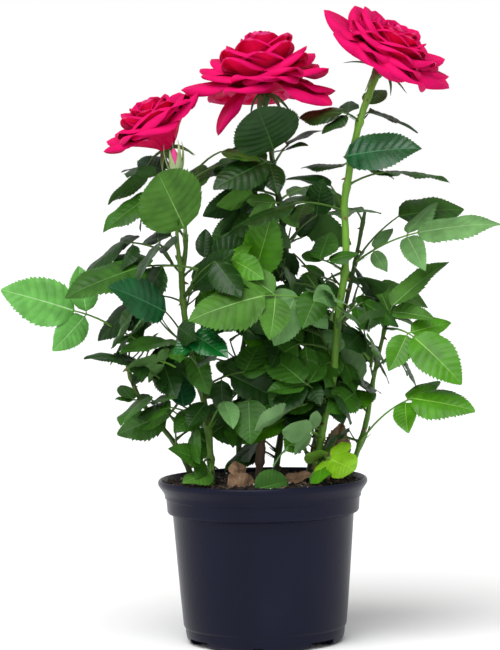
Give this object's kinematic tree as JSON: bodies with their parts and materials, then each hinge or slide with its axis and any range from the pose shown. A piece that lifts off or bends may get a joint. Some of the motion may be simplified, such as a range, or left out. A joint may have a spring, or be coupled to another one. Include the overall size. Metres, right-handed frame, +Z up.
{
  "type": "potted miniature rose bush",
  "caption": "Small rose bush with open crimson-pink blooms, a bud and glossy compound leaves on green canes, in a plain dark nursery pot.",
  "frame": {"origin": "centre of the pot's flat underside", "axes": "+Z up along the pot's axis, +Y towards the back, +X to the right seen from the front"},
  "size_m": [0.3545, 0.1918, 0.4531],
  "materials": {
    "pot_plastic": "satin blue-black thermoformed plastic, thin-walled, with soft glints on the rolled rim",
    "potting_soil": "moist dark potting compost with bark crumbs and a few pale grains",
    "green_cane": "smooth yellow-green rose cane with faint ridges and swollen nodes",
    "old_cane": "older darker green cane, slightly ridged",
    "dead_wood": "dry brown cut stub",
    "foliage": "semi-gloss serrated leaflets, paler and matt beneath",
    "petals": "velvety crimson-pink petals, deeper red in the folds"
  },
  "bodies": {
    "root": {"pot": "pot_plastic", "soil": "potting_soil", "dead_stub": "dead_wood", "cane_right": "green_cane", "cane_centre": "old_cane", "cane_left": "green_cane", "cane_bud_shoot": "green_cane", "cane_left_shoot": "green_cane", "cane_far_left": "old_cane", "cane_low_right": "green_cane", "cane_right_back": "old_cane", "cane_left_back": "old_cane", "bud": "petals", "right_bloom": "petals", "centre_bloom": "petals", "left_bloom": "petals", "leaves_right_top": "foliage", "leaves_right_upper": "foliage", "leaves_right_middle": "foliage", "leaves_right_inner": "foliage", "leaves_front_pale": "foliage", "leaves_front_low": "foliage", "leaves_front_foot": "foliage", "leaves_right_foot": "foliage", "leaves_centre_top": "foliage", "leaves_centre_right": "foliage", "leaves_centre_low": "foliage", "leaves_left_wing": "foliage", "leaves_left_centre": "foliage", "leaves_left_dark": "foliage", "leaves_left_fork": "foliage", "leaves_left_low": "foliage", "leaves_left_foot": "foliage", "leaves_left_inner": "foliage", "leaves_left_front": "foliage", "leaves_bud_leaves": "foliage", "leaves_far_left_tip": "foliage", "leaves_far_left_mid": "foliage", "leaves_far_left_foot": "foliage", "leaves_right_blade": "foliage", "leaves_right_pale": "foliage", "leaves_right_low": "foliage", "leaves_right_wing": "foliage", "leaves_centre_bright": "foliage", "leaves_back_1": "foliage", "leaves_back_2": "foliage", "leaves_back_3": "foliage", "leaves_back_4": "foliage", "leaves_back_5": "foliage", "leaves_back_6": "foliage", "leaves_back_7": "foliage", "leaves_back_8": "foliage", "leaves_back_9": "foliage", "leaves_back_10": "foliage", "leaves_back_11": "foliage", "leaves_back_12": "foliage", "leaves_back_13": "foliage", "leaves_back_14": "foliage", "leaves_back_15": "foliage"}
  },
  "joints": []
}
